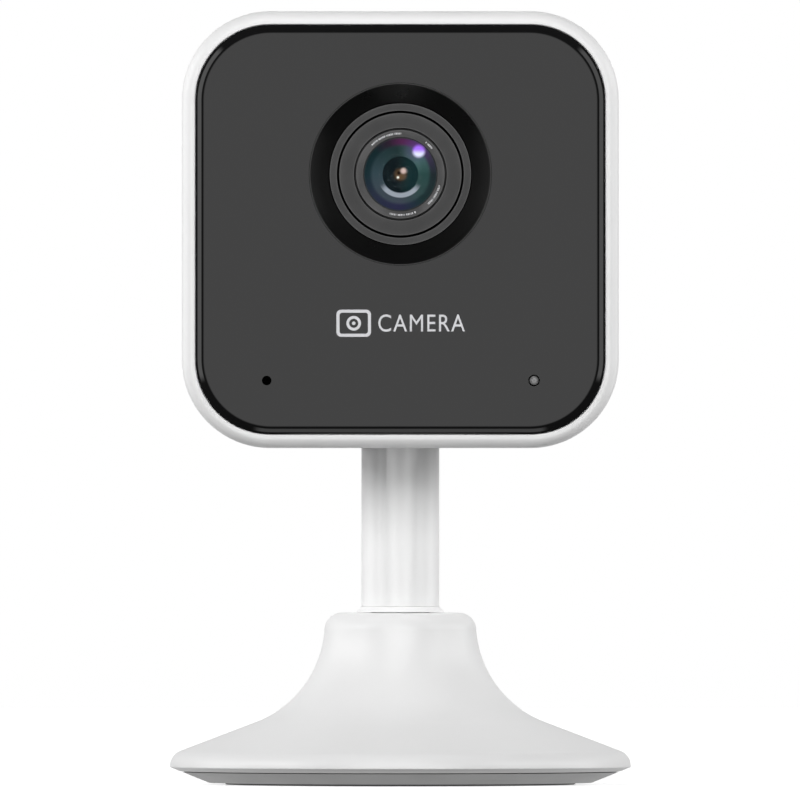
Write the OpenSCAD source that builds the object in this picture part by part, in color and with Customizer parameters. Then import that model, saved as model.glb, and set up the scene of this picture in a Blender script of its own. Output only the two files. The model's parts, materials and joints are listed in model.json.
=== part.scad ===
// Indoor security camera: a square head on a round neck and a flared round base.
// The neck swivels in the base and the head tilts on the neck.
// Millimetres, +Z up, front towards -Y, origin at the centre of the foot on the table.
// Head parts are drawn in the face frame of on_head(): x right, y up from the head's centre,
// z out of the front. A depth in that frame is named *_d.

/* [Base] */
// Diameter of the base at its rim
base_d = 63; // [61:1:66]
// Height of the flat top that the neck stands on
boss_h = 23.45; // [23:0.05:24]
// Diameter of the boss where it is narrowest, below its shoulder
boss_d = 20.7; // [20:0.1:21.4]
// Rounding of the boss's top edge
shoulder_r = 2.4; // [2:0.1:2.6]
// Radius of the hollow flare between the boss and the skirt
flare_r = 14.4; // [13:0.2:15]
// Slope of the skirt
skirt_angle = 20.9; // [20:0.1:22]
// Wall of the base shell
base_wall = 2; // [1.8:0.1:2.2]
// Diameter of the underside's flat
sole_d = 51.2; // [50:0.2:53]
// How far the rubber pad stands out of the underside
pad_proud = 0.25; // [0.2:0.05:0.4]

/* [Neck] */
// Diameter of the neck
neck_d = 10.64; // [10:0.02:10.7]
// Height of the tapered collar at the foot of the neck
collar_h = 0.85; // [0.7:0.05:1]
// Radius of the tilt pin
pin_r = 1.5; // [1.3:0.1:1.6]

/* [Head] */
// Width and height of the head
head_w = 59.5; // [58:0.5:61]
// Corner radius of the head, seen from the front
head_corner_r = 12; // [11.5:0.5:12.5]
// Depth of the head, from the window to the back
head_depth = 32; // [32:0.5:34]
// Height of the head's lower edge above the table
head_bottom = 45.95; // [45:0.05:48]
// Rounding of the front edge
front_edge_r = 1.55; // [1.2:0.05:1.6]
// Rounding of the rear edge
rear_edge_r = 7; // [6:0.5:7]
// Wall of the two head shells
head_wall = 1.8; // [1.6:0.1:1.9]
// Height of the tilt hinge above the head's lower edge
hinge_rise = 11.25; // [11:0.05:11.5]
// How far the head can look down
look_down = 15; // [10:1:15]

/* [Window] */
// Width and height of the dark front window
window_w = 55.7; // [55.5:0.1:55.8]
// Width of the bevel around the window
bevel_w = 1.15; // [0.8:0.05:1.3]
// Height of the lens centre above the head's centre
lens_rise = 7.55; // [7:0.05:8]
// Radius of the lens recess at the face of the window
recess_r = 12.45; // [12:0.05:12.8]
// Sideways distance of the microphone and the status light from the middle
dot_x = 18.2; // [17.5:0.1:19]
// Distance of the microphone and the status light below the head's centre
dot_drop = 20.55; // [20:0.05:21]

/* [Hidden] */
$fn = 96;
base_r = base_d / 2;
rim_r = 1.05;
rim_z = 3.35;
rim_x = base_r - rim_r;
lip_z = 2.3;
lip_chamfer = 0.2;
underside_slope = lip_z / (base_r - lip_chamfer - sole_d / 2);
shell_end_z = 1.82;
cover_seam_z = 1.7;
cover_top_z = 2.5;
mouth_r = 28.5;
boss_under_z = 12;
skirt_dist = rim_x * sin(skirt_angle) + rim_z * cos(skirt_angle) + rim_r;
flare_x = boss_d / 2 + flare_r;
flare_z = (skirt_dist + flare_r - flare_x * sin(skirt_angle)) / cos(skirt_angle);
shoulder_z = boss_h - shoulder_r;
pad_in_r = 12;
pad_out_r = 24;
pad_top_z = 1;
foot_screw_r = 16;
foot_screw_angles = [90, 210, 330];
foot_post_r = 3;
weight_in_r = 8.5;
weight_out_r = 24;
weight_z = 2.6;
weight_h = 2;

neck_r = neck_d / 2;
spigot_r = 4;
spigot_bottom = 11.25;
swivel_gap = 0.1;
run_gap = 0.05;
collar_top = boss_h + collar_h;
bush_r = 5.2;
keeper_top = 11.2;
keeper_h = 1;
keeper_r = 7;

head_cz = head_bottom + head_w / 2;
hinge_z = head_bottom + hinge_rise;
slot_half = neck_r + 0.25;
cheek = 1.6;
slot_turn_r = neck_r + 0.58;
slot_front_gap = 0.3;
knuckle_half = 4.7;
washer_r = 4.4;
plate_t = 0.8;
plate_half = 3.1;
pin_seat_x = slot_half + cheek + plate_t;
hinge_y = hinge_z - head_cz;
hinge_tab_ys = [hinge_y - 5.5, hinge_y + 5.3];
hinge_tab_x = 10.5;
hinge_tab_r = 2.1;
hinge_tab_d = -3;
hinge_tab_t = 2;

face_d = head_depth / 2;
back_d = -head_depth / 2;
seam_d = -4;
lip_d = face_d - 0.6;
window_back_d = face_d - 2;
seat_d = window_back_d - 0.25;
ledge_t = 1.5;
ledge_w = 51;
inner_w = head_w - 2 * head_wall;
inner_r = head_corner_r - head_wall;
inner_back_d = back_d + head_wall;
window_r = 10.25;
bevel_drop = 0.65;
corner_post_xy = 22.3;
corner_post_r = 3;
corner_tab_d = 7.5;
corner_tab_t = 2;

front_board_d = 11.2;
front_board_t = 1;
front_board_face = front_board_d + front_board_t;
main_board_t = 1.2;
main_board_d = -9.5;
main_board_face = main_board_d + main_board_t;
main_board_w = 48;
main_board_low = -10;
main_board_high = 24;
main_board_screws = [[-20.5, -6.5], [21.5, 5.5], [-20.5, 16]];

recess_floor_d = face_d - 2.4;
hood_floor_r = 9.75;
groove_r = 8.5;
barrel_r = 6.1;
thread_r = 5.95;
glass_r = 5;
rear_glass_r = 4.2;
barrel_front_d = 13.9;
barrel_back_d = -3.5;
thread_top_d = 10;
holder_top_d = 8.5;
holder_half_x = 12;
holder_half_y = 7;
holder_roof_d = -3.6;
filter_pitch = 6.6;
filter_d = -5.9;
filter_t = 1;
pane_size = [5.6, 6.4];
holder_ears = [[-8, 9.2], [8, -9.2]];

speaker_xy = [0, 12.5];
speaker_r = 10;
usb_xy = [-14.5, -5];
reset_xy = [14.5, -5];
reset_r = 1.6;
reset_travel = 0.5;
card_xy = [20.1, -2.8];
card_w = 12.4;
card_l = 14.2;
processor_xy = [17.5, 13];
wifi_xy = [-18, 4.5];
antenna_y = inner_w / 2 - 0.8;
led_xys = [[-19, 18], [-20.5, 7.55], [-19, -3], [19, 18], [20.5, 7.55], [19, -3]];

// ---- helpers ----

module on_head() {
    translate([0, 0, head_cz]) rotate([90, 0, 0]) children();
}

module at_lens(depth = 0) {
    on_head() translate([0, lens_rise, depth]) children();
}

// Four-fold copies at (+-x, +-y)
module at_corners(x, y) {
    for (sx = [-1, 1], sy = [-1, 1]) translate([sx * x, sy * y, 0]) children();
}

module rounded_square(w, r) {
    at_corners(w / 2 - r, w / 2 - r) circle(r);
    square([w, w - 2 * r], center = true);
    square([w - 2 * r, w], center = true);
}

module rounded_plate(w, r, d0, d1) {
    translate([0, 0, d0]) linear_extrude(d1 - d0) rounded_square(w, r);
}

// A plate with its lower left corner at xy
module board(xy, size, d0, thickness) {
    translate([xy[0], xy[1], d0]) cube([size[0], size[1], thickness]);
}

// A box centred on xy that starts at depth d0
module chip(xy, size, d0) {
    translate([xy[0] - size[0] / 2, xy[1] - size[1] / 2, d0]) cube(size);
}

module ring(r_out, r_in, h) {
    difference() {
        cylinder(r = r_out, h = h);
        translate([0, 0, -1]) cylinder(r = r_in, h = h + 2);
    }
}

// A pan-head screw with its head's underside at z = 0 and its shank down -z
module screw(head_r, head_h, shank_r, length) {
    cross_w = head_r * 0.3;
    cross_l = head_r * 1.2;
    difference() {
        cylinder(r = head_r, h = head_h, $fn = 32);
        for (turn = [0, 90])
            rotate([0, 0, turn]) translate([-cross_l / 2, -cross_w / 2, head_h * 0.5])
                cube([cross_l, cross_w, head_h]);
    }
    translate([0, 0, -length]) cylinder(r = shank_r, h = length + head_h * 0.2, $fn = 32);
}

// A round post between depths d0 and d1
module post(r, d0, d1) {
    translate([0, 0, d0]) cylinder(r = r, h = d1 - d0);
}

// A round-edged square block, drawn as the hull of its four corner posts
module soft_block(w, r, d0, d1, back_r, front_r) {
    hull() at_corners(w / 2 - r, w / 2 - r)
        rotate_extrude($fn = 64) post_profile(r, d0, d1, back_r, front_r);
}

module post_profile(r, d0, d1, back_r, front_r) {
    steps = 10;
    back = [for (i = [0 : steps]) let (a = 90 * i / steps)
        [r - back_r + back_r * sin(a), d0 + back_r - back_r * cos(a)]];
    front = [for (i = [0 : steps]) let (a = 90 * i / steps)
        [r - front_r + front_r * cos(a), d1 - front_r + front_r * sin(a)]];
    polygon(concat(
        [[0, d0]],
        back_r > 0 ? back : [[r, d0]],
        front_r > 0 ? front : [[r, d1]],
        [[0, d1]]
    ));
}

// Extrudes a (Y, Z) outline across X, from -half to half
module across_x(half) {
    translate([-half, 0, 0]) rotate([90, 0, 90]) linear_extrude(2 * half) children();
}

// ---- base ----

// Height of the skirt's surface at radius x, inset by a wall
function skirt_z(x, inset) = (skirt_dist - inset - x * sin(skirt_angle)) / cos(skirt_angle);

// Radius at which the flare's surface, inset by a wall, is at height z
function flare_at(z, inset) = flare_x - sqrt(pow(flare_r + inset, 2) - pow(flare_z - z, 2));

// Point where the skirt runs into the flare
function flare_foot(inset) = [
    flare_x - (flare_r + inset) * sin(skirt_angle),
    flare_z - (flare_r + inset) * cos(skirt_angle)
];

module base_outline() {
    shoulder_x = flare_at(shoulder_z, 0);
    difference() {
        polygon([
            [0, shell_end_z],
            [sole_d / 2 + shell_end_z / underside_slope, shell_end_z],
            [base_r - lip_chamfer, lip_z],
            [base_r, lip_z + lip_chamfer],
            [base_r, rim_z],
            [rim_x + rim_r * sin(skirt_angle), rim_z + rim_r * cos(skirt_angle)],
            flare_foot(0),
            [flare_x, flare_z],
            [shoulder_x, shoulder_z],
            [0, shoulder_z]
        ]);
        translate([flare_x, flare_z]) circle(flare_r, $fn = 180);
    }
    translate([rim_x, rim_z]) circle(rim_r);
    translate([0, shoulder_z - 1]) square([shoulder_x - shoulder_r, shoulder_r + 1]);
    translate([shoulder_x - shoulder_r, shoulder_z]) circle(shoulder_r);
}

module base_cavity() {
    difference() {
        polygon([
            [0, 0],
            [mouth_r, 0],
            [mouth_r, skirt_z(mouth_r, base_wall)],
            flare_foot(base_wall),
            [flare_x, flare_z],
            [flare_at(boss_under_z, base_wall), boss_under_z],
            [0, boss_under_z]
        ]);
        translate([flare_x, flare_z]) circle(flare_r + base_wall, $fn = 180);
    }
}

module at_foot_screws() {
    for (a = foot_screw_angles) rotate([0, 0, a]) translate([foot_screw_r, 0, 0]) children();
}

module base_shell() {
    post_top = 8;
    color("white") difference() {
        union() {
            difference() {
                rotate_extrude() base_outline();
                rotate_extrude() base_cavity();
            }
            at_foot_screws() translate([0, 0, cover_top_z + run_gap])
                cylinder(r = foot_post_r, h = post_top - cover_top_z);
        }
        translate([0, 0, boss_under_z - 1]) cylinder(r = bush_r, h = boss_h);
        at_foot_screws() translate([0, 0, cover_top_z])
            cylinder(r = 1, h = post_top - cover_top_z - 0.5);
    }
}

module base_cover() {
    color("gainsboro") difference() {
        rotate_extrude() polygon([
            [0, pad_proud],
            [sole_d / 2 + pad_proud / underside_slope, pad_proud],
            [sole_d / 2 + cover_seam_z / underside_slope, cover_seam_z],
            [mouth_r - 0.2, cover_seam_z],
            [mouth_r - 0.2, cover_top_z],
            [0, cover_top_z]
        ]);
        ring(pad_out_r + run_gap, pad_in_r - run_gap, pad_top_z);
        at_foot_screws() translate([0, 0, pad_top_z - 0.5]) cylinder(r = 2.4, h = 1.4);
        at_foot_screws() cylinder(r = 1.4, h = cover_top_z + 1);
    }
}

module foot_pad() {
    edge = 0.2;
    color("dimgray") rotate_extrude() polygon([
        [pad_in_r + edge, 0],
        [pad_out_r - edge, 0],
        [pad_out_r, edge],
        [pad_out_r, pad_top_z - run_gap],
        [pad_in_r, pad_top_z - run_gap],
        [pad_in_r, edge]
    ]);
}

module base_screws() {
    color("silver") at_foot_screws() translate([0, 0, pad_top_z + 0.9]) rotate([180, 0, 0])
        screw(2.2, 0.85, 1, 5);
}

module base_weight() {
    color("slategray") translate([0, 0, weight_z]) difference() {
        ring(weight_out_r, weight_in_r, weight_h);
        at_foot_screws() translate([0, 0, -1]) cylinder(r = foot_post_r + 0.3, h = weight_h + 2);
    }
}

module swivel_bush() {
    color("ivory") translate([0, 0, boss_under_z])
        ring(bush_r, spigot_r + run_gap, boss_h - boss_under_z - run_gap);
}

module friction_washer() {
    thick = boss_under_z - keeper_top - run_gap;
    color("dimgray") translate([0, 0, keeper_top + run_gap])
        ring(keeper_r - 0.2, spigot_r + swivel_gap, thick);
}

module keeper_washer() {
    color("silver") translate([0, 0, keeper_top - keeper_h]) ring(keeper_r, 1.6, keeper_h);
}

module swivel_screw() {
    color("silver") translate([0, 0, keeper_top - keeper_h]) rotate([180, 0, 0])
        screw(2.9, 1.8, 1.5, 9);
}

// ---- neck ----

module neck_stem() {
    flats_z = hinge_z - washer_r - 1.2;
    color("white") difference() {
        union() {
            translate([0, 0, collar_top]) cylinder(r = neck_r, h = hinge_z - collar_top);
            translate([0, 0, spigot_bottom]) cylinder(r = spigot_r, h = collar_top - spigot_bottom + 1);
            translate([0, 0, hinge_z]) across_x(neck_r) circle(neck_r);
        }
        for (side = [0, 1]) mirror([side, 0, 0])
            translate([knuckle_half, -neck_r - 1, flats_z]) cube([neck_r, neck_d + 2, neck_d * 2]);
        translate([0, 0, hinge_z]) across_x(neck_r + 1) circle(pin_r + run_gap);
        translate([0, 0, spigot_bottom - 1]) cylinder(r = 1.5, h = 10);
    }
}

module neck_collar() {
    bottom = boss_h + swivel_gap;
    color("white") difference() {
        translate([0, 0, bottom])
            cylinder(r1 = neck_r + 0.65, r2 = neck_r + 0.03, h = collar_top - bottom);
        translate([0, 0, bottom - 1]) cylinder(r = spigot_r, h = collar_h + 2);
    }
}

// ---- tilt hinge ----

// Side view of the space that the neck sweeps inside the head, grown by extra
module neck_sweep(extra) {
    reach = head_depth;
    translate([0, hinge_z]) {
        circle(slot_turn_r + extra);
        translate([0, -reach]) square([reach, reach + slot_turn_r + extra]);
        rotate(-look_down) translate([-neck_r - slot_front_gap - extra, -reach])
            square([neck_d + slot_front_gap + extra, reach]);
    }
}

// Side view of the rear part of the head, with its rounded lower rear edge
module head_side() {
    low_y = face_d - rear_edge_r;
    translate([-face_d, head_bottom]) square([face_d + low_y, head_w]);
    translate([-face_d, head_bottom + rear_edge_r]) square([head_depth, head_w - rear_edge_r]);
    translate([low_y, head_bottom + rear_edge_r]) circle(rear_edge_r);
}

// The room that both shells leave for the hinge housing
module housing_room() {
    across_x(slot_half + cheek + 0.1) neck_sweep(cheek + 0.1);
}

module at_hinge_tabs() {
    for (y = hinge_tab_ys, side = [-1, 1]) translate([side * hinge_tab_x, y, 0]) children();
}

module hinge_housing() {
    color("white") difference() {
        union() {
            across_x(slot_half + cheek) intersection() {
                neck_sweep(cheek);
                head_side();
            }
            on_head() at_hinge_tabs() translate([0, 0, hinge_tab_d])
                cylinder(r = hinge_tab_r, h = hinge_tab_t);
            on_head() for (y = hinge_tab_ys)
                chip([0, y], [2 * hinge_tab_x, 2 * hinge_tab_r, hinge_tab_t], hinge_tab_d);
        }
        across_x(slot_half) neck_sweep(0);
        translate([0, 0, hinge_z]) across_x(20) circle(pin_r + run_gap);
        on_head() at_hinge_tabs() translate([0, 0, hinge_tab_d - 1])
            cylinder(r = 1, h = hinge_tab_t + 2);
    }
}

module tilt_pin() {
    color("silver") translate([0, 0, hinge_z]) rotate([0, 90, 0]) {
        translate([0, 0, -pin_seat_x - 2.4]) cylinder(r = pin_r, h = 2 * pin_seat_x + 2.4);
        translate([0, 0, pin_seat_x]) cylinder(r = 2.6, h = 1.4);
    }
}

module pin_nut() {
    color("silver") translate([-pin_seat_x - 2, 0, hinge_z]) rotate([0, 90, 0]) difference() {
        cylinder(r = 2.9, h = 2, $fn = 6);
        translate([0, 0, -1]) cylinder(r = pin_r, h = 4);
    }
}

module pin_plates() {
    color("silver") for (side = [0, 1]) mirror([side, 0, 0]) difference() {
        translate([slot_half + cheek, -plate_half, hinge_z - plate_half])
            cube([plate_t, 2 * plate_half, 2 * plate_half]);
        translate([0, 0, hinge_z]) across_x(20) circle(pin_r + run_gap);
    }
}

module tilt_washers() {
    inner_face = knuckle_half + 0.04;
    color("dimgray") for (side = [0, 1]) mirror([side, 0, 0])
        translate([inner_face, 0, hinge_z]) rotate([0, 90, 0])
            ring(washer_r, pin_r + run_gap, slot_half - inner_face);
}

module housing_screws() {
    color("silver") on_head() at_hinge_tabs() translate([0, 0, hinge_tab_d + hinge_tab_t])
        screw(1.9, 1, 0.9, 8);
}

// ---- head shells ----

module corner_tabs() {
    tab = 8.2;
    intersection() {
        rounded_plate(inner_w + 0.4, inner_r + 0.2, corner_tab_d, corner_tab_d + corner_tab_t);
        at_corners(inner_w / 2, inner_w / 2)
            translate([-tab, -tab, corner_tab_d]) cube([2 * tab, 2 * tab, corner_tab_t]);
    }
}

module front_shell() {
    pad_x = 25;
    color("white") difference() {
        union() {
            difference() {
                on_head() soft_block(head_w, head_corner_r, seam_d, lip_d, 0, front_edge_r);
                on_head() rounded_plate(window_w + 0.15, window_r + 0.08, seat_d, face_d + 1);
                on_head() rounded_plate(inner_w, inner_r, seam_d - 1, seat_d - ledge_t);
                on_head() rounded_plate(ledge_w, 7.8, seam_d - 1, face_d);
            }
            on_head() corner_tabs();
            on_head() for (side = [-1, 1])
                chip([side * pad_x, -2], [4, 5, ledge_t], seat_d - ledge_t);
        }
        on_head() at_corners(corner_post_xy, corner_post_xy)
            translate([0, 0, corner_tab_d - 1]) cylinder(r = 1.15, h = 4);
        on_head() for (side = [-1, 1])
            translate([side * 24.3, -2, front_board_d]) cylinder(r = 0.75, h = 2.4);
        housing_room();
    }
}

// Round holes on rings about the speaker's axis
module grille_holes() {
    pitch = 2.6;
    translate([speaker_xy[0], speaker_xy[1], back_d - 1])
        for (row = [0 : 3], i = [0 : max(0, row * 6 - 1)])
            rotate([0, 0, row == 0 ? 0 : i * 60 / row]) translate([row * pitch, 0, 0])
                cylinder(r = 0.6, h = head_wall + 2, $fn = 24);
}

module usb_outline(grow) {
    half = 3.75 + grow;
    top = 1.35 + grow;
    corner_x = half - 0.9;
    corner_y = 1 - top;
    polygon([
        [-corner_x, -top],
        [corner_x, -top],
        [half, corner_y],
        [half, top],
        [-half, top],
        [-half, corner_y]
    ]);
}

module rear_shell() {
    tongue_d = seam_d + 1.6;
    color("white") difference() {
        union() {
            difference() {
                on_head() soft_block(head_w, head_corner_r, back_d, seam_d - 0.12, rear_edge_r, 0);
                on_head() soft_block(inner_w, inner_r, inner_back_d, seam_d + 1,
                    rear_edge_r - head_wall, 0);
            }
            on_head() difference() {
                rounded_plate(inner_w - 0.2, inner_r - 0.1, seam_d - 1.6, tongue_d);
                rounded_plate(inner_w - 2.6, inner_r - 1.3, seam_d - 2.6, tongue_d + 1);
            }
            on_head() difference() {
                rounded_plate(inner_w + 0.4, inner_r + 0.2, seam_d - 2.4, seam_d - 1.6);
                rounded_plate(inner_w - 2.6, inner_r - 1.3, seam_d - 3, seam_d);
            }
            on_head() at_corners(corner_post_xy, corner_post_xy)
                post(corner_post_r, inner_back_d + 0.1, corner_tab_d);
            on_head() for (p = main_board_screws) translate(p)
                post(2.1, inner_back_d - 0.4, main_board_d);
            on_head() at_hinge_tabs() post(hinge_tab_r, inner_back_d - 0.4, hinge_tab_d);
        }
        on_head() at_corners(corner_post_xy, corner_post_xy)
            post(0.9, corner_tab_d - 9, corner_tab_d + 1);
        on_head() for (p = main_board_screws) translate(p)
            post(0.8, main_board_d - 3.6, main_board_d + 0.4);
        on_head() at_hinge_tabs() post(0.9, hinge_tab_d - 7, hinge_tab_d + 1);
        on_head() grille_holes();
        on_head() translate([usb_xy[0], usb_xy[1], back_d - 1])
            linear_extrude(head_wall + 2) usb_outline(0.3);
        on_head() translate(reset_xy) post(reset_r + 0.15, back_d - 1, inner_back_d + 1);
        on_head() chip([head_w / 2, card_xy[1]], [8, card_w - 0.8, 1.3], main_board_face + 0.2);
        housing_room();
    }
}

module head_screws() {
    color("silver") on_head() at_corners(corner_post_xy, corner_post_xy)
        translate([0, 0, corner_tab_d + corner_tab_t]) screw(1.9, 1.1, 0.9, 9);
}

// ---- window ----

module front_window() {
    face_w = window_w - 2 * bevel_w;
    color([0.13, 0.13, 0.14]) on_head() difference() {
        hull() {
            rounded_plate(window_w, window_r, window_back_d, face_d - bevel_drop);
            rounded_plate(face_w, window_r - bevel_w, face_d - 0.05, face_d);
        }
        translate([0, lens_rise, window_back_d - 1]) cylinder(r = recess_r, h = 4);
        translate([-dot_x, -dot_drop, window_back_d - 1]) cylinder(r = 0.65, h = 4);
        translate([dot_x, -dot_drop, window_back_d - 1]) cylinder(r = 0.81, h = 4);
    }
}

module window_gasket() {
    color("black") on_head() difference() {
        rounded_plate(window_w - 0.4, window_r - 0.2, seat_d, window_back_d);
        rounded_plate(ledge_w + 1, 8.3, seat_d - 1, window_back_d + 1);
    }
}

// ---- lens ----

module lens_hood() {
    lip = 0.25;
    color([0.03, 0.03, 0.03]) at_lens() rotate_extrude() polygon([
        [recess_r - run_gap, window_back_d],
        [recess_r - run_gap, face_d - lip],
        [recess_r - run_gap - lip, face_d - 0.02],
        [hood_floor_r, recess_floor_d],
        [hood_floor_r, recess_floor_d - 0.9],
        [recess_r + 1.1, recess_floor_d - 0.9],
        [recess_r + 1.1, window_back_d]
    ]);
}

module hood_ring() {
    color([0.2, 0.2, 0.2]) at_lens(recess_floor_d - 1) ring(hood_floor_r - 0.05, groove_r + 0.06, 1);
}

module lens_cover_ring() {
    color([0.2, 0.2, 0.2]) at_lens(recess_floor_d - 1.1) ring(groove_r - 0.06, barrel_r + 0.08, 1.1);
}

module lens_barrel() {
    color([0.08, 0.08, 0.09]) at_lens() difference() {
        union() {
            translate([0, 0, thread_top_d]) cylinder(r = barrel_r, h = barrel_front_d - thread_top_d);
            translate([0, 0, barrel_back_d]) cylinder(r = thread_r, h = thread_top_d - barrel_back_d + 1);
        }
        translate([0, 0, 8.6]) cylinder(r = glass_r + 0.05, h = 10);
        translate([0, 0, barrel_back_d - 1]) cylinder(r = rear_glass_r + 0.1, h = 20);
    }
}

// A round lens between depths d0 and d1, with sphere radii for its two faces
module lens_element(r, d0, d1, front_ball, back_ball) {
    intersection() {
        translate([0, 0, d0]) cylinder(r = r, h = d1 - d0);
        translate([0, 0, d1 - front_ball]) sphere(front_ball);
        translate([0, 0, d0 + back_ball]) sphere(back_ball);
    }
}

module front_lens() {
    color([0.2, 0.5, 0.5, 0.5]) at_lens() difference() {
        intersection() {
            translate([0, 0, 10.8]) cylinder(r = glass_r, h = 4);
            translate([0, 0, barrel_front_d - 0.1 - 9]) sphere(9);
        }
        translate([0, 0, 7.6]) sphere(4.2);
    }
}

module front_spacer() {
    color([0.05, 0.05, 0.05]) at_lens(8.6) ring(glass_r, 3.6, 2.2);
}

module iris_plate() {
    color([0.03, 0.03, 0.03]) at_lens(7.9) ring(rear_glass_r, 1.6, 0.5);
}

module inner_lens() {
    color([0.6, 0.6, 0.7, 0.5]) at_lens() lens_element(rear_glass_r, 3.5, 7.8, 7, 9);
}

module rear_spacer() {
    color([0.05, 0.05, 0.05]) at_lens(0.6) ring(rear_glass_r, 3.2, 2.8);
}

module rear_lens() {
    color([0.6, 0.6, 0.7, 0.5]) at_lens() lens_element(rear_glass_r, -2.8, 0.5, 9, 7);
}

module lens_lock_ring() {
    notch = 1.6;
    color([0.1, 0.1, 0.1]) at_lens(holder_top_d + 0.02) difference() {
        ring(7.9, thread_r, 1.4);
        for (turn = [0 : 60 : 300]) rotate([0, 0, turn])
            translate([7.2, -notch / 2, -1]) cube([2, notch, 4]);
    }
}

module lens_holder() {
    ear_t = 2;
    color([0.1, 0.1, 0.1]) at_lens() difference() {
        union() {
            chip([0, 0], [2 * holder_half_x, 2 * holder_half_y, holder_roof_d - main_board_face],
                main_board_face);
            post(7.9, holder_roof_d - 0.5, holder_top_d);
            for (ear = holder_ears) translate(ear) post(2.4, main_board_face, main_board_face + ear_t);
            for (ear = holder_ears)
                chip([ear[0], ear[1] * 0.85], [4.8, 2.6, ear_t], main_board_face);
        }
        chip([0, 0], [10.4, 10.4, 1.8], main_board_face - 0.1);
        chip([0, 0], [6.4, 5.4, 4], main_board_face);
        chip([0, 0], [22, 9, filter_t + 0.4], filter_d - 0.2);
        translate([0, 0, holder_roof_d - 2]) cylinder(r = 4.6, h = 3);
        translate([0, 0, -4]) cylinder(r = thread_r + run_gap, h = 20);
        for (ear = holder_ears) translate(ear) post(0.95, main_board_face - 1, main_board_face + 4);
    }
}

module holder_screws() {
    color("silver") at_lens() for (ear = holder_ears)
        translate([ear[0], ear[1], main_board_face + 2]) screw(1.7, 0.9, 0.9, 2.9);
}

// ---- infrared cut filter ----

module filter_slider() {
    color([0.15, 0.15, 0.15]) at_lens() difference() {
        chip([filter_pitch / 2, 0], [14.2, 8.4, filter_t], filter_d);
        for (x = [0, filter_pitch]) chip([x, 0], [pane_size[0], pane_size[1], 3], filter_d - 1);
    }
}

module filter_panes() {
    color([0.5, 0.7, 0.8, 0.5]) at_lens() for (x = [0, filter_pitch])
        chip([x, 0], [pane_size[0], pane_size[1], 0.5], filter_d + 0.25);
}

module filter_coil() {
    coil_y = holder_half_y + 2.3;
    color("darkorange") at_lens() difference() {
        chip([0, coil_y], [9, 4.4, 4], main_board_face);
        chip([0, coil_y], [3.4, 6, 0.8], main_board_face + 3.4);
    }
}

module image_sensor() {
    color([0.2, 0.25, 0.35]) at_lens() chip([0, 0], [8.5, 8.5, 1.1], main_board_face);
}

// ---- electronics ----

module main_board() {
    color("darkgreen") on_head() difference() {
        board([-main_board_w / 2, main_board_low], [main_board_w, main_board_high - main_board_low],
            main_board_d, main_board_t);
        for (side = [-1, 1]) translate([side * corner_post_xy, corner_post_xy, main_board_d - 1])
            cylinder(r = corner_post_r + 0.6, h = 4);
        for (p = main_board_screws) translate([p[0], p[1], main_board_d - 1]) cylinder(r = 0.95, h = 4);
        for (ear = holder_ears)
            translate([ear[0], ear[1] + lens_rise, main_board_d - 1]) cylinder(r = 0.95, h = 4);
    }
}

module board_screws() {
    color("silver") on_head() for (p = main_board_screws)
        translate([p[0], p[1], main_board_face]) screw(1.8, 1, 0.8, 4.2);
}

module processor() {
    color([0.12, 0.12, 0.12]) on_head() chip(processor_xy, [9, 9, 1.2], main_board_face);
}

module heat_spreader() {
    fin_h = 2.2;
    color("silver") on_head() {
        chip(processor_xy, [10, 10, 1], main_board_face + 1.2);
        for (i = [0 : 4])
            chip([processor_xy[0] - 4.4 + 2.2 * i, processor_xy[1]], [0.8, 10, fin_h],
                main_board_face + 2.1);
    }
}

module wifi_module() {
    color("silver") on_head() chip(wifi_xy, [11, 12, 2], main_board_face);
}

module antenna() {
    color("goldenrod") on_head() board([-15, antenna_y], [30, 0.5], -2, 8);
}

// From the antenna down the inside of the head, then round a bend and back to the wireless module
module antenna_lead() {
    r = 0.5;
    bend = 3;
    run_d = 1;
    low_y = wifi_xy[1] + 3;
    lead_x = -14.5;
    module_top = main_board_face + 2;
    color("black") on_head() translate([lead_x, low_y, 0]) {
        translate([0, antenna_y - low_y, run_d]) rotate([90, 0, 0])
            cylinder(r = r, h = antenna_y - low_y - bend, $fn = 24);
        translate([0, bend, run_d - bend]) rotate([90, 0, -90])
            rotate_extrude(angle = 90) translate([bend, 0]) circle(r, $fn = 24);
        translate([0, 0, module_top]) cylinder(r = r, h = run_d - bend - module_top, $fn = 24);
    }
}

module front_board() {
    half = 25.2;
    low = -24.5;
    color("darkgreen") on_head() difference() {
        board([-half, low], [2 * half, 2 * -low], front_board_d, front_board_t);
        at_corners(corner_post_xy, corner_post_xy) post(4, front_board_d - 1, front_board_d + 3);
        translate([0, lens_rise, front_board_d - 1]) cylinder(r = 10.4, h = 4);
        at_corners(half, -low) translate([0, 0, front_board_d + 1]) cube([6, 6, 4], center = true);
        for (side = [-1, 1]) translate([side * 24.3, -2, front_board_d - 1]) cylinder(r = 0.75, h = 4);
    }
}

module front_board_screws() {
    color("silver") on_head() for (side = [-1, 1])
        translate([side * 24.3, -2, front_board_d]) rotate([180, 0, 0]) screw(1.5, 0.8, 0.75, 2.2);
}

module ribbon_cable() {
    strip_x = -23.4;
    low_y = -9.6;
    plug_h = 1;
    color("lightgray") on_head() {
        board([strip_x, low_y], [0.25, 6], main_board_face + plug_h / 2,
            front_board_d - main_board_face - plug_h);
        board([strip_x - 0.6, low_y], [1.6, 6], main_board_face, plug_h);
        board([strip_x - 0.6, low_y], [1.6, 6], front_board_d - plug_h, plug_h);
    }
}

module ir_leds() {
    color([0.8, 0.8, 0.7]) on_head() for (p = led_xys) {
        chip(p, [3.2, 3.2, 0.8], front_board_face);
        translate([p[0], p[1], front_board_face + 0.8]) intersection() {
            cylinder(r = 1.3, h = 0.9);
            translate([0, 0, -0.9]) sphere(1.8);
        }
    }
}

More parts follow.
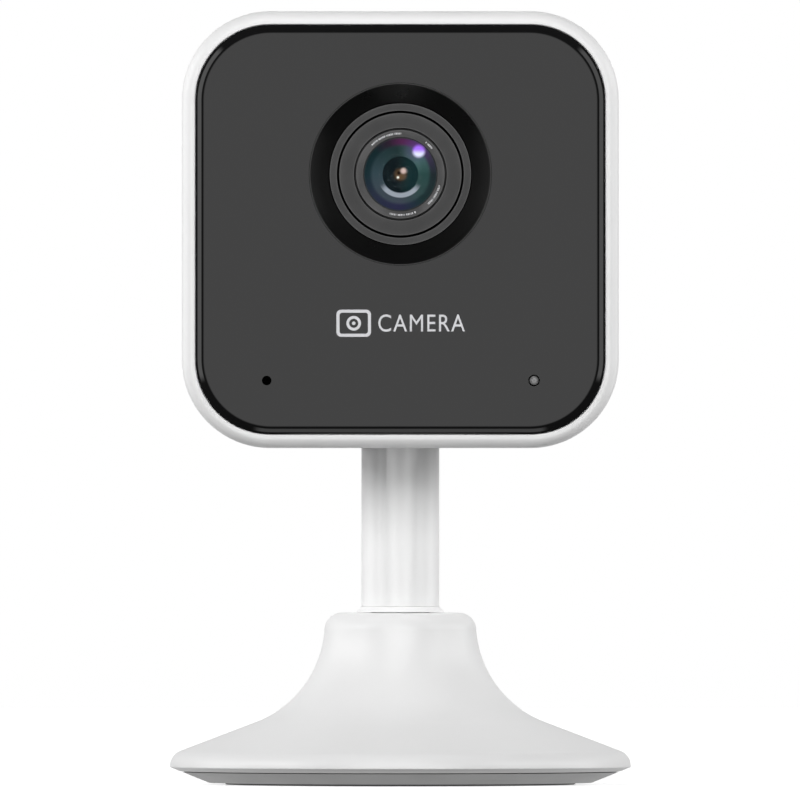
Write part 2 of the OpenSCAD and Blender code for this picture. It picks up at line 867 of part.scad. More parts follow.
module light_sensor() {
    color([0.1, 0.1, 0.1]) on_head() chip([0, -11.5], [3, 2.4, 0.9], front_board_face);
}

module microphone() {
    color("silver") on_head() chip([-dot_x, -dot_drop], [3.6, 3, 1], front_board_face);
}

module mic_gasket() {
    color("black") on_head() translate([-dot_x, -dot_drop, front_board_face + 1])
        ring(1.8, 0.75, window_back_d - front_board_face - 1);
}

module status_led() {
    color("white") on_head() chip([dot_x, -dot_drop], [1.6, 1.2, 0.6], front_board_face);
}

module light_pipe() {
    start_d = front_board_face + 0.65;
    color([0.55, 0.55, 0.55]) on_head() translate([dot_x, -dot_drop, start_d]) {
        cylinder(r = 1.3, h = window_back_d - start_d);
        cylinder(r = 0.76, h = face_d - start_d - 0.05);
    }
}

module speaker() {
    rim_h = 0.6;
    depth = main_board_d - 0.4 - inner_back_d;
    color([0.15, 0.15, 0.15]) on_head() translate([speaker_xy[0], speaker_xy[1], inner_back_d])
        difference() {
            union() {
                post(speaker_r, 0, rim_h + 0.8);
                post(speaker_r - 1.2, 0.7, 2.1);
                post(5, 1, depth);
            }
            translate([0, 0, -3.4]) sphere(4.6);
            translate([0, 0, -0.01]) ring(8.8, 4, rim_h);
        }
}

module usb_socket() {
    shell_t = 0.3;
    length = main_board_d - back_d - 0.9;
    color("silver") on_head() translate([usb_xy[0], usb_xy[1], main_board_d - length]) {
        difference() {
            linear_extrude(length) usb_outline(0);
            translate([0, 0, -1]) linear_extrude(length) usb_outline(-shell_t);
        }
        translate([-2, -0.45, 0.6]) cube([4, 0.75, length - 1]);
    }
}

module card_socket() {
    color("silver") on_head() difference() {
        chip(card_xy, [card_l, card_w, 1.6], main_board_face);
        chip([card_xy[0] + 1, card_xy[1]], [card_l, card_w - 1.2, 0.9], main_board_face + 0.35);
    }
}

module reset_switch() {
    body_h = 1.5;
    color([0.15, 0.15, 0.15]) on_head() {
        chip(reset_xy, [4.5, 4.5, body_h], main_board_d - body_h);
        translate([reset_xy[0], reset_xy[1], main_board_d - body_h - 0.4]) cylinder(r = 1, h = 0.6);
    }
}

module reset_button() {
    stem_d = main_board_d - 1.9 - reset_travel - 0.1;
    flange_t = 0.7;
    color("silver") on_head() translate([reset_xy[0], reset_xy[1], 0]) {
        translate([0, 0, back_d + 0.1]) cylinder(r = reset_r, h = stem_d - back_d - 0.1);
        translate([0, 0, inner_back_d + 0.1]) cylinder(r = reset_r + 0.9, h = flange_t);
    }
}

base_shell();
base_cover();
foot_pad();
base_screws();
base_weight();
swivel_bush();
friction_washer();
keeper_washer();
swivel_screw();
neck_stem();
neck_collar();
hinge_housing();
tilt_pin();
pin_nut();
pin_plates();
tilt_washers();
housing_screws();
front_shell();
rear_shell();
head_screws();
front_window();
window_gasket();
lens_hood();
hood_ring();
lens_cover_ring();
lens_barrel();
front_lens();
front_spacer();
iris_plate();
inner_lens();
rear_spacer();
rear_lens();
lens_lock_ring();
lens_holder();
holder_screws();
filter_slider();
filter_panes();
filter_coil();
image_sensor();
main_board();
board_screws();
processor();
heat_spreader();
wifi_module();
antenna();
antenna_lead();
front_board();
front_board_screws();
ribbon_cable();
ir_leds();
light_sensor();
microphone();
mic_gasket();
status_led();
light_pipe();
speaker();
usb_socket();
card_socket();
reset_switch();
reset_button();
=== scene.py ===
"""Indoor security camera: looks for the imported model.

Metres, in the row frame: +Z up, the window faces -Y, +X to the viewer's right.
"""
import json
from math import atan2, cos, degrees, pi, radians, sin, sqrt

import bmesh
import bpy
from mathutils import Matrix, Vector


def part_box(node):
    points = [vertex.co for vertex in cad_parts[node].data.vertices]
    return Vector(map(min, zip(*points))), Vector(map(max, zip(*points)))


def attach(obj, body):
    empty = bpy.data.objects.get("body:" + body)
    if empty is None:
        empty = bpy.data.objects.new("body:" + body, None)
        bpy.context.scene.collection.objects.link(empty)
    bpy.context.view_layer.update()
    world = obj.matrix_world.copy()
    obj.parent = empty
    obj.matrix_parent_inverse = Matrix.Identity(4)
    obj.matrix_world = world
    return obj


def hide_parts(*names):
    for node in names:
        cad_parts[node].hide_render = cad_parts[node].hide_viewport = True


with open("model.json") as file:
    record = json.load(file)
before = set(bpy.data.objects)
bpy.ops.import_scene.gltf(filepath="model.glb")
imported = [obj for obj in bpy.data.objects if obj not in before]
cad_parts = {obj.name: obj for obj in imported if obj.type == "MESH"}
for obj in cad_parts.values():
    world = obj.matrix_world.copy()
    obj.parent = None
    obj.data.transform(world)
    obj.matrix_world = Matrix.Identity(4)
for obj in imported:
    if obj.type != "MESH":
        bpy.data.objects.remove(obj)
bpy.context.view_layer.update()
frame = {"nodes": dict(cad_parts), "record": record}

MM = 0.001


# ---------------------------------------------------------------- places, from the frame

def middle(node):
    """The middle of a CAD node's box."""
    low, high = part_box(node)
    return (low + high) / 2


def half_width(node):
    """Half of a CAD node's width, left to right."""
    low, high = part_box(node)
    return (high.x - low.x) / 2


HEAD_HALF = half_width("front_shell")
HEAD_Z = middle("front_shell").z
LIP_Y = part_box("front_shell")[0].y
SEAM_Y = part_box("front_shell")[1].y
FACE_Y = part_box("front_window")[0].y
WINDOW_BACK_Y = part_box("front_window")[1].y
WINDOW_HALF = half_width("front_window")
CORNER_R = 12 * MM
WINDOW_R = 10.25 * MM
BEVEL_W = 1.25 * MM
BEVEL_DROP = 0.65 * MM

LENS_Z = middle("lens_barrel").z
BARREL_R = half_width("lens_barrel")
BARREL_FRONT_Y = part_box("lens_barrel")[0].y
GLASS_R = half_width("front_lens")
RECESS_R = 12.45 * MM
HOOD_FLOOR_R = 9.75 * MM
RECESS_FLOOR_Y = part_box("hood_ring")[0].y
GROOVE_R = 8.5 * MM

MIC = middle("microphone")
MIC_HOLE_R = 0.65 * MM
LIGHT = middle("light_pipe")
LIGHT_R = 0.6 * MM
LIGHT_HOLE_R = 0.81 * MM

BASE_R = half_width("base_shell")
BOSS_TOP_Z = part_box("base_shell")[1].z


# ---------------------------------------------------------------- mesh helpers

def arc(centre, radius, start, end, steps):
    """Points on an arc, from angle start to end in degrees, both included."""
    angles = [radians(start + (end - start) * i / steps) for i in range(steps + 1)]
    return [(centre[0] + radius * cos(a), centre[1] + radius * sin(a)) for a in angles]


def rounded_loop(centre, half_w, half_h, radius, steps=8):
    """(x, z) points of a rounded rectangle."""
    points = []
    for k, (sx, sz) in enumerate(((1, 1), (-1, 1), (-1, -1), (1, -1))):
        corner = (centre[0] + sx * (half_w - radius), centre[1] + sz * (half_h - radius))
        points += arc(corner, radius, 90 * k, 90 * k + 90, steps)
    return points


def new_object(name, verts, faces, sharp=32):
    """A smooth-shaded mesh object whose edges above the sharp angle stay crisp."""
    mesh = bpy.data.meshes.new(name)
    mesh.from_pydata([tuple(v) for v in verts], [], faces)
    bm = bmesh.new()
    bm.from_mesh(mesh)
    bmesh.ops.remove_doubles(bm, verts=bm.verts, dist=1e-7)
    bmesh.ops.recalc_face_normals(bm, faces=bm.faces)
    crease(bm, sharp)
    bm.to_mesh(mesh)
    bm.free()
    obj = bpy.data.objects.new(name, mesh)
    bpy.context.scene.collection.objects.link(obj)
    return obj


def crease(bm, sharp):
    """Smooth faces, with the edges above the sharp angle marked sharp."""
    for face in bm.faces:
        face.smooth = True
    for edge in bm.edges:
        edge.smooth = len(edge.link_faces) == 2 and edge.calc_face_angle() < radians(sharp)


def skin(rings, closed):
    """Quads between neighbouring rings, each a closed loop of as many points."""
    count = len(rings[0])
    verts = [point for ring in rings for point in ring]
    faces = []
    spans = len(rings) if closed else len(rings) - 1
    for k in range(spans):
        a = k * count
        b = (k + 1) % len(rings) * count
        for i in range(count):
            j = (i + 1) % count
            faces.append((a + i, a + j, b + j, b + i))
    return verts, faces


def spin_up(name, profile, steps=192, sharp=32):
    """A closed body turned about +Z from a (radius, height) outline."""
    rings = [[(r * cos(2 * pi * i / steps), r * sin(2 * pi * i / steps), z) for i in range(steps)]
             for r, z in profile]
    return new_object(name, *skin(rings, closed=True), sharp=sharp)


def spin_front(name, profile, centre_x, centre_z, steps=160, closed=True, sharp=32):
    """A body turned about an axis along Y from a (radius, y) outline."""
    rings = [[(centre_x + r * cos(2 * pi * i / steps), y, centre_z + r * sin(2 * pi * i / steps))
              for i in range(steps)] for r, y in profile]
    return new_object(name, *skin(rings, closed), sharp=sharp)


def square_ring(half, radius, y, steps=20):
    """A rounded square about the head's middle, at depth y."""
    return [(x, y, z) for x, z in rounded_loop((0, HEAD_Z), half, half, radius, steps)]


def loft_square(name, half, corner, section, closed=True, sharp=32):
    """A rounded-square frame or block from a section of (inset, y) points."""
    rings = [square_ring(half - inset, max(corner - inset, 0.05 * MM), y) for inset, y in section]
    return new_object(name, *skin(rings, closed), sharp=sharp)


def cap_ends(obj):
    """Closes the open rings of a skinned mesh with flat faces."""
    bm = bmesh.new()
    bm.from_mesh(obj.data)
    bmesh.ops.holes_fill(bm, edges=[e for e in bm.edges if e.is_boundary], sides=0)
    bmesh.ops.recalc_face_normals(bm, faces=bm.faces)
    crease(bm, 32)
    bm.to_mesh(obj.data)
    bm.free()
    return obj


def cut_out(obj, cutters):
    """Cuts the given closed meshes out of a piece, then deletes them."""
    for cutter in cutters:
        cut = obj.modifiers.new("cut", "BOOLEAN")
        cut.operation = "DIFFERENCE"
        cut.solver = "EXACT"
        cut.object = cutter
    bpy.context.view_layer.update()
    depsgraph = bpy.context.evaluated_depsgraph_get()
    mesh = bpy.data.meshes.new_from_object(obj.evaluated_get(depsgraph))
    obj.modifiers.clear()
    obj.data = mesh
    for cutter in cutters:
        bpy.data.objects.remove(cutter)


def refined(node, bevel):
    """A copy of a CAD node with welded faces, small rounded edges and hardened normals."""
    source = frame["nodes"][node]
    bm = bmesh.new()
    bm.from_mesh(source.data)
    bmesh.ops.remove_doubles(bm, verts=bm.verts, dist=2e-6)
    bmesh.ops.dissolve_limit(bm, angle_limit=radians(0.5), verts=bm.verts, edges=bm.edges,
                             delimit={"NORMAL"})
    crease(bm, 30)
    mesh = bpy.data.meshes.new(node + "_fine")
    bm.to_mesh(mesh)
    bm.free()
    obj = bpy.data.objects.new(node + "_fine", mesh)
    bpy.context.scene.collection.objects.link(obj)
    edges = obj.modifiers.new("edges", "BEVEL")
    edges.width = bevel
    edges.segments = 2
    edges.limit_method = "ANGLE"
    edges.angle_limit = radians(40)
    edges.harden_normals = True
    edges.use_clamp_overlap = True
    return obj


def place(obj, material, body, *nodes):
    """Gives a piece its material and its body, and hides the CAD nodes that it stands for."""
    obj.data.materials.clear()
    obj.data.materials.append(material)
    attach(obj, body)
    if nodes:
        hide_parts(*nodes)
    return obj


# ---------------------------------------------------------------- materials

def node_material(name):
    """A new node material, with its tree and its Principled shader."""
    mat = bpy.data.materials.new(name)
    mat.use_nodes = True
    tree = mat.node_tree
    shader = tree.nodes["Principled BSDF"]
    return mat, tree, shader


def add(tree, kind, inputs=(), **settings):
    """A new node, with its settings and the values or links of its inputs."""
    node = tree.nodes.new(kind)
    for key, value in settings.items():
        setattr(node, key, value)
    for socket, value in dict(inputs).items():
        if isinstance(value, bpy.types.NodeSocket):
            tree.links.new(value, node.inputs[socket])
        else:
            node.inputs[socket].default_value = value
    return node


def noise(tree, scale, detail=2.0, stretch=(1, 1, 1)):
    """Noise in the piece's own coordinates. A scale of 1000 has features of about 1 mm."""
    coords = add(tree, "ShaderNodeTexCoord")
    mapping = add(tree, "ShaderNodeMapping", {"Vector": coords.outputs["Object"], "Scale": stretch})
    field = add(tree, "ShaderNodeTexNoise",
                {"Vector": mapping.outputs["Vector"], "Scale": scale, "Detail": detail})
    return field.outputs["Fac"]


def remap(tree, value, low, high, from_low=0.3, from_high=0.7, curve="LINEAR"):
    """Maps a value from one range to another, low to high. Noise mostly lies from 0.3 to 0.7."""
    return add(tree, "ShaderNodeMapRange",
               {"Value": value, "From Min": from_low, "From Max": from_high,
                "To Min": low, "To Max": high}, interpolation_type=curve).outputs["Result"]


def step_up(tree, value, low, high):
    """A soft step from 0 at low to 1 at high (falls instead when low is above high)."""
    return remap(tree, value, 0, 1, low, high, "SMOOTHSTEP")


def blend_colors(tree, factor, first, second):
    """Mixes two colours, each a tuple or a link, by a linked factor."""
    mix = add(tree, "ShaderNodeMix", data_type="RGBA")
    for socket, value in (("Factor", factor), ("A", first), ("B", second)):
        if isinstance(value, tuple):
            mix.inputs[socket].default_value = (*value, 1)
        else:
            tree.links.new(value, mix.inputs[socket])
    return mix.outputs["Result"]


def shaded(color, factor):
    """A colour made darker or lighter."""
    return tuple(min(1.0, c * factor) for c in color)


def surface(name, color, rough, grain=4000, bump=0.02, spread=0.04, rough_spread=0.06,
            stretch=(1, 1, 1), wear=0.0, metallic=0.0, ior=1.5, specular=0.5, coat=0.0):
    """A moulded, painted or metal surface with fine grain, uneven gloss and worn edges."""
    mat, tree, shader = node_material(name)
    cloud = noise(tree, 90, 3)
    base = blend_colors(tree, remap(tree, cloud, 0, 1), shaded(color, 1 - spread),
                        shaded(color, 1 + spread))
    if wear:
        geometry = add(tree, "ShaderNodeNewGeometry")
        edge = remap(tree, geometry.outputs["Pointiness"], 0, wear, 0.505, 0.56)
        base = blend_colors(tree, edge, base, shaded(color, 1.35))
    tree.links.new(base, shader.inputs["Base Color"])
    smudge = noise(tree, 260, 4, stretch)
    gloss = remap(tree, smudge, max(0.02, rough - rough_spread), rough + rough_spread)
    tree.links.new(gloss, shader.inputs["Roughness"])
    fine = noise(tree, grain, 2, stretch)
    bumped = add(tree, "ShaderNodeBump", {"Strength": bump, "Distance": 0.0001, "Height": fine})
    tree.links.new(bumped.outputs["Normal"], shader.inputs["Normal"])
    shader.inputs["Metallic"].default_value = metallic
    shader.inputs["IOR"].default_value = ior
    shader.inputs["Specular IOR Level"].default_value = specular
    shader.inputs["Coat Weight"].default_value = coat
    shader.inputs["Coat Roughness"].default_value = 0.05
    return mat


def clear_glass(name, color, rough=0.01, ior=1.5, film=0.0):
    """Clear glass. A low IOR stands for an anti-reflection coating."""
    mat, tree, shader = node_material(name)
    haze = noise(tree, 400, 2)
    tree.links.new(remap(tree, haze, rough, rough + 0.01), shader.inputs["Roughness"])
    shader.inputs["Base Color"].default_value = (*color, 1)
    shader.inputs["Transmission Weight"].default_value = 1.0
    shader.inputs["IOR"].default_value = ior
    shader.inputs["Thin Film Thickness"].default_value = film
    shader.inputs["Thin Film IOR"].default_value = 1.38
    return mat


def circuit_board(name, mask, copper):
    """Solder mask with lighter tracks and plated dots."""
    mat, tree, shader = node_material(name)
    coords = add(tree, "ShaderNodeTexCoord")
    tracks = add(tree, "ShaderNodeTexBrick",
                 {"Vector": coords.outputs["Object"], "Scale": 220.0, "Mortar Size": 0.035,
                  "Color1": (0, 0, 0, 1), "Color2": (0.15, 0.15, 0.15, 1), "Mortar": (1, 1, 1, 1)})
    dots = add(tree, "ShaderNodeTexVoronoi", {"Vector": coords.outputs["Object"], "Scale": 420.0})
    track_color = blend_colors(tree, tracks.outputs["Fac"], mask, shaded(mask, 1.8))
    pad = calc(tree, "LESS_THAN", dots.outputs["Distance"], 0.16)
    tree.links.new(blend_colors(tree, pad, track_color, copper), shader.inputs["Base Color"])
    tree.links.new(remap(tree, noise(tree, 800), 0.3, 0.45), shader.inputs["Roughness"])
    bumped = add(tree, "ShaderNodeBump",
                 {"Strength": 0.2, "Distance": 0.00005, "Height": tracks.outputs["Fac"]})
    tree.links.new(bumped.outputs["Normal"], shader.inputs["Normal"])
    return mat


def calc(tree, operation, first, second=0.0, third=0.0):
    """One Math node on numbers or sockets."""
    return add(tree, "ShaderNodeMath", {0: first, 1: second, 2: third}, operation=operation).outputs[0]


def color_ramp(tree, value, stops):
    """A colour along a value, from (position, colour) stops."""
    node = add(tree, "ShaderNodeValToRGB", {"Fac": value})
    elements = node.color_ramp.elements
    while len(elements) < len(stops):
        elements.new(0.5)
    for element, (position, color) in zip(elements, stops):
        element.position = position
        element.color = (*color, 1)
    return node.outputs["Color"]


def lens_polar(tree):
    """Offsets, radius (mm) and angle (turns, 0 at +X, a quarter at +Z) about the lens axis."""
    axes = add(tree, "ShaderNodeSeparateXYZ",
               {"Vector": add(tree, "ShaderNodeTexCoord").outputs["Object"]})
    x = calc(tree, "MULTIPLY", axes.outputs["X"], 1000)
    z = calc(tree, "MULTIPLY", calc(tree, "SUBTRACT", axes.outputs["Z"], LENS_Z), 1000)
    radius = calc(tree, "SQRT", calc(tree, "ADD", calc(tree, "MULTIPLY", x, x),
                                     calc(tree, "MULTIPLY", z, z)))
    turns = calc(tree, "FRACT", calc(tree, "DIVIDE", calc(tree, "ARCTAN2", z, x), 2 * pi))
    return x, z, radius, turns


def spot(tree, x, z, centre, radius, soft):
    """1 inside a round spot, falling to 0 over a soft edge."""
    dx = calc(tree, "SUBTRACT", x, centre[0])
    dz = calc(tree, "SUBTRACT", z, centre[1])
    away = calc(tree, "SQRT", calc(tree, "ADD", calc(tree, "MULTIPLY", dx, dx),
                                   calc(tree, "MULTIPLY", dz, dz)))
    return step_up(tree, away, radius + soft, radius - soft)


def glow_material(name, color, rough=0.08):
    """Glass seen in the dark of the barrel, its colours painted reflections and highlights: it gives
    them off as a glow, with a faint gloss.
    """
    mat, tree, shader = node_material(name)
    # The painted reflections and highlights, given off as light.
    painted_light_color = color(tree)
    tree.links.new(painted_light_color, shader.inputs["Emission Color"])
    shader.inputs["Emission Strength"].default_value = 1.0
    dimmed = add(tree, "ShaderNodeMix", {"Factor": 0.8}, data_type="RGBA")
    tree.links.new(painted_light_color, dimmed.inputs["A"])
    dimmed.inputs["B"].default_value = (0, 0, 0, 1)
    tree.links.new(dimmed.outputs["Result"], shader.inputs["Base Color"])
    smudge = noise(tree, 300, 3)
    tree.links.new(remap(tree, smudge, rough, rough + 0.04), shader.inputs["Roughness"])
    shader.inputs["Specular IOR Level"].default_value = 0.02
    return mat


def bowl_painted_reflections(tree):
    """Painted reflections round the back of the front element, in teal, wine and violet, with a painted
    crescent highlight, a painted haze and a painted highlight spot.
    """
    x, z, radius, turns = lens_polar(tree)
    # Painted coloured reflections, changing round the lens axis.
    outer = color_ramp(tree, turns, (
        (0.00, (0.016, 0.022, 0.026)), (0.08, (0.040, 0.030, 0.060)), (0.16, (0.080, 0.035, 0.120)),
        (0.24, (0.085, 0.018, 0.070)), (0.30, (0.030, 0.014, 0.028)), (0.38, (0.008, 0.020, 0.024)),
        (0.50, (0.010, 0.024, 0.030)), (0.60, (0.022, 0.026, 0.046)), (0.75, (0.024, 0.022, 0.056)),
        (0.86, (0.014, 0.030, 0.032)), (1.00, (0.016, 0.022, 0.026))))
    inner = color_ramp(tree, turns, (
        (0.00, (0.022, 0.052, 0.050)), (0.10, (0.050, 0.100, 0.098)), (0.18, (0.045, 0.080, 0.080)),
        (0.27, (0.014, 0.026, 0.028)), (0.36, (0.018, 0.034, 0.038)), (0.50, (0.032, 0.050, 0.062)),
        (0.62, (0.045, 0.055, 0.070)), (0.75, (0.046, 0.052, 0.070)), (0.88, (0.030, 0.055, 0.055)),
        (1.00, (0.022, 0.052, 0.050))))
    field = blend_colors(tree, step_up(tree, radius, 3.7, 4.3), inner, outer)
    rim = step_up(tree, radius, 4.75, 4.98)
    field = blend_colors(tree, rim, field, (0.035, 0.035, 0.036))
    # A painted crescent highlight, low round the pupil's edge.
    wedge = calc(tree, "MULTIPLY", step_up(tree, turns, 0.57, 0.64), step_up(tree, turns, 0.93, 0.86))
    band = calc(tree, "MULTIPLY", step_up(tree, radius, 2.48, 2.62), step_up(tree, radius, 3.24, 3.08))
    field = blend_colors(tree, calc(tree, "MULTIPLY", wedge, band), field, (0.30, 0.30, 0.35))
    # A painted violet haze of a reflection, up and to the right.
    haze = spot(tree, x, z, (2.2, 3.3), 0.8, 1.5)
    field = blend_colors(tree, calc(tree, "MULTIPLY", haze, 0.5), field, (0.13, 0.05, 0.24))
    # A painted highlight spot, pale at its lower part and violet higher up.
    painted_highlight_spot = spot(tree, x, z, (2.5, 3.15), 0.78, 0.3)
    height = step_up(tree, z, 2.7, 3.5)
    painted_highlight_tint = blend_colors(tree, height, (0.80, 0.74, 1.0), (0.42, 0.16, 0.92))
    return blend_colors(tree, painted_highlight_spot, field, painted_highlight_tint)


def pupil_painted_reflections(tree):
    """Painted reflections in the dark inner glass: faint rings, a warm centre, a painted dark spot and
    two small painted highlights.
    """
    x, z, radius = lens_polar(tree)[:3]
    # Painted reflections: faint rings and a teal tinge towards the right.
    ripple = calc(tree, "SINE", calc(tree, "MULTIPLY", radius, 21.0))
    side = step_up(tree, x, -0.6, 1.6)
    dark = blend_colors(tree, side, (0.003, 0.006, 0.008), (0.005, 0.020, 0.022))
    lines = calc(tree, "MULTIPLY", step_up(tree, ripple, 0.75, 1.0),
                 step_up(tree, radius, 1.0, 1.5))
    field = blend_colors(tree, calc(tree, "MULTIPLY", lines, 0.5), dark, (0.020, 0.034, 0.040))
    # A painted warm reflection in the centre, then a painted dark spot.
    warm = spot(tree, x, z, (0.02, -0.02), 0.75, 0.35)
    field = blend_colors(tree, calc(tree, "MULTIPLY", warm, 0.8), field, (0.13, 0.065, 0.030))
    shade = spot(tree, x, z, (-0.22, 0.22), 0.24, 0.14)
    field = blend_colors(tree, shade, field, (0.004, 0.003, 0.003))
    # Painted highlights: pink up and to the right, pale down and to the left.
    pink = spot(tree, x, z, (0.42, 0.5), 0.36, 0.22)
    field = blend_colors(tree, pink, field, (0.62, 0.42, 0.38))
    return blend_colors(tree, spot(tree, x, z, (-0.33, -0.4), 0.15, 0.1), field, (0.95, 0.88, 0.80))


WHITE = (0.80, 0.80, 0.80)
SLOT_MATERIALS = {
    "white_shell": surface("white_plastic", WHITE, 0.3, grain=1500, bump=0.012, spread=0.006,
                           rough_spread=0.012, wear=0.12),
    # The base cover's white plastic is painted grey, as painted shade on the underside.
    "cover_white": surface("cover_plastic_painted_shade", (0.62, 0.62, 0.62), 0.5, bump=0.05, spread=0.015, wear=0.1),
    "rubber": surface("pad_rubber", (0.10, 0.10, 0.10), 0.75, grain=2500, bump=0.12, spread=0.12),
    "friction_pad": surface("friction_pad", (0.16, 0.16, 0.16), 0.65, bump=0.08),
    "steel": surface("zinc_steel", (0.62, 0.62, 0.63), 0.3, grain=1800, bump=0.05, metallic=1.0,
                     stretch=(1, 1, 8), wear=0.3),
    "weight_steel": surface("blackened_steel", (0.16, 0.17, 0.18), 0.45, metallic=1.0, bump=0.08),
    "nylon": surface("nylon", (0.80, 0.77, 0.68), 0.45, bump=0.04),
    "window_black": surface("smoked_acrylic", (0.005, 0.005, 0.0052), 0.045, bump=0.0, spread=0.02,
                            rough_spread=0.01, ior=1.49),
    "foam": surface("black_foam", (0.02, 0.02, 0.02), 0.9, grain=2200, bump=0.3),
    "hood_black": surface("hood_black", (0.003, 0.003, 0.003), 0.3, bump=0.0, rough_spread=0.04,
                          specular=0.3),
    "ring_grey": surface("ring_grey", (0.006, 0.006, 0.0062), 0.14, bump=0.01, rough_spread=0.03),
    "barrel_black": surface("black_anodised", (0.008, 0.008, 0.0084), 0.2, bump=0.03, wear=0.3),
    "lens_glass": clear_glass("lens_glass", (0.88, 0.97, 0.96), ior=1.05),
    "filter_glass": clear_glass("filter_glass", (0.55, 0.85, 0.95), film=420.0),
    "holder_black": surface("holder_black", (0.02, 0.02, 0.02), 0.5, bump=0.08),
    "copper": surface("copper_winding", (0.72, 0.30, 0.12), 0.35, grain=1500, bump=0.4,
                      metallic=1.0, stretch=(8, 1, 1)),
    "sensor_chip": surface("sensor_chip", (0.03, 0.05, 0.09), 0.12, bump=0.01, coat=0.6),
    "board_green": circuit_board("circuit_board", (0.006, 0.07, 0.03), (0.65, 0.45, 0.18)),
    "chip_black": surface("chip_epoxy", (0.018, 0.018, 0.018), 0.55, grain=3000, bump=0.12),
    "shield_metal": surface("tinned_sheet", (0.62, 0.62, 0.60), 0.28, metallic=1.0, bump=0.05,
                            stretch=(1, 8, 1), wear=0.25),
    "fin_aluminium": surface("cast_aluminium", (0.66, 0.67, 0.68), 0.4, metallic=1.0, bump=0.1),
    "antenna_foil": surface("antenna_foil", (0.80, 0.58, 0.24), 0.25, metallic=1.0, bump=0.03),
    "lead_black": surface("lead_sleeve", (0.02, 0.02, 0.02), 0.5, bump=0.05),
    "flex": surface("flex_cable", (0.62, 0.60, 0.52), 0.4, grain=1600, bump=0.1, stretch=(1, 1, 6)),
    "led_resin": surface("led_resin", (0.75, 0.75, 0.62), 0.12, bump=0.0, coat=0.5),
    "pipe_grey": surface("light_pipe", (0.12, 0.12, 0.12), 0.25, bump=0.02),
    "speaker_black": surface("speaker_paper", (0.03, 0.03, 0.03), 0.7, grain=1800, bump=0.25),
    "button_grey": surface("button_grey", (0.32, 0.32, 0.32), 0.45, bump=0.05, wear=0.2),
}


def dress_cad_nodes():
    """Every carried-over CAD node takes the material of its slot."""
    for entry in frame["record"]["subparts"]:
        obj = frame["nodes"][entry["node"]]
        obj.data.materials.clear()
        obj.data.materials.append(SLOT_MATERIALS[entry["material_slot"]])


dress_cad_nodes()
white_plastic = SLOT_MATERIALS["white_shell"]
# The microphone is painted near black, as painted shade, so its sound port reads as a black hole in the
# window.
port_painted_shade = surface("port_painted_shade", (0.002, 0.002, 0.002), 0.8, bump=0.1, specular=0.05)
frame["nodes"]["microphone"].data.materials[0] = port_painted_shade
# Self-lit materials that carry painted reflections and highlights inside the lens.
painted_reflection_glass = glow_material("painted_reflection_glass", bowl_painted_reflections)
pupil_painted_glow = glow_material("pupil_painted_glow", pupil_painted_reflections)
print_silver = surface("silver_print", (0.62, 0.62, 0.64), 0.4, grain=6000, bump=0.02, spread=0.05)


# ---------------------------------------------------------------- base

SKIRT_DEGREES = 20.9
SKIRT_ANGLE = radians(SKIRT_DEGREES)
RIM_R = 2.2 * MM
RIM_Z = 2.56 * MM
SHOULDER_R = 2.4 * MM
FLARE_R = 14.4 * MM
BOSS_R = 10.35 * MM
SHELL_END_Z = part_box("base_shell")[0].z
LIP_Z = 2.3 * MM
LIP_CHAMFER = 0.2 * MM
SOLE_R = 25.6 * MM


def base_profile():
    """The base shell's section: its outside from the bore down to the mouth, then its inside."""
    rim_x = BASE_R - RIM_R
    dist = rim_x * sin(SKIRT_ANGLE) + RIM_Z * cos(SKIRT_ANGLE) + RIM_R
    flare_x = BOSS_R + FLARE_R
    flare_z = (dist + FLARE_R - flare_x * sin(SKIRT_ANGLE)) / cos(SKIRT_ANGLE)
    shoulder_z = BOSS_TOP_Z - SHOULDER_R
    shoulder_x = flare_x - sqrt(FLARE_R ** 2 - (flare_z - shoulder_z) ** 2) - SHOULDER_R
    flare_start = 180 + degrees((flare_z - shoulder_z) / FLARE_R)
    flare_end = 270 - SKIRT_DEGREES
    lip_r = BASE_R - LIP_CHAMFER
    underside = (lip_r - SOLE_R) / LIP_Z
    wall = 2 * MM
    boss_under_z = 12 * MM
    bore_r = half_width("swivel_bush")
    outline = [(bore_r, BOSS_TOP_Z)]
    outline += arc((shoulder_x, shoulder_z), SHOULDER_R, 90, 2, 14)
    outline += arc((flare_x, flare_z), FLARE_R, flare_start, flare_end, 40)
    outline += arc((rim_x, RIM_Z), RIM_R, 90 - SKIRT_DEGREES, 0, 10)
    outline += arc((lip_r, LIP_Z + LIP_CHAMFER), LIP_CHAMFER, 0, -60, 4)
    outline += [(SOLE_R + SHELL_END_Z * underside, SHELL_END_Z)]
    mouth_r = half_width("base_cover") - 1.3 * MM
    outline += [(mouth_r, SHELL_END_Z), (mouth_r, RIM_Z - LIP_CHAMFER)]
    outline += arc((flare_x, flare_z), FLARE_R + wall, flare_end, 220, 14)
    outline += [(bore_r, boss_under_z)]
    return outline


base_shell = spin_up("base_shell_turned", base_profile(), steps=256)
place(base_shell, white_plastic, "base", "base_shell")


# ---------------------------------------------------------------- front shell

def front_shell_section():
    """Section of the white front frame: (inset from its outer face, y)."""
    edge_r = 1.55 * MM
    wall = 1.8 * MM
    window_gap = 0.075 * MM
    lip_w = HEAD_HALF - WINDOW_HALF - window_gap
    lip_edge = 0.1 * MM
    seat_y = WINDOW_BACK_Y + 0.25 * MM
    ledge_w = 4.25 * MM
    ledge_back = seat_y + 1.5 * MM
    chamfer = 0.12 * MM
    rounding = [(edge_r - edge_r * cos(radians(a)), LIP_Y + edge_r - edge_r * sin(radians(a)))
                for a in range(0, 91, 6)]
    section = [(chamfer, SEAM_Y), (0, SEAM_Y - chamfer)]
    section += rounding
    section += [(lip_w - lip_edge, LIP_Y), (lip_w, LIP_Y + lip_edge), (lip_w, seat_y)]
    section += [(ledge_w, seat_y), (ledge_w, ledge_back), (wall, ledge_back), (wall, SEAM_Y)]
    return section


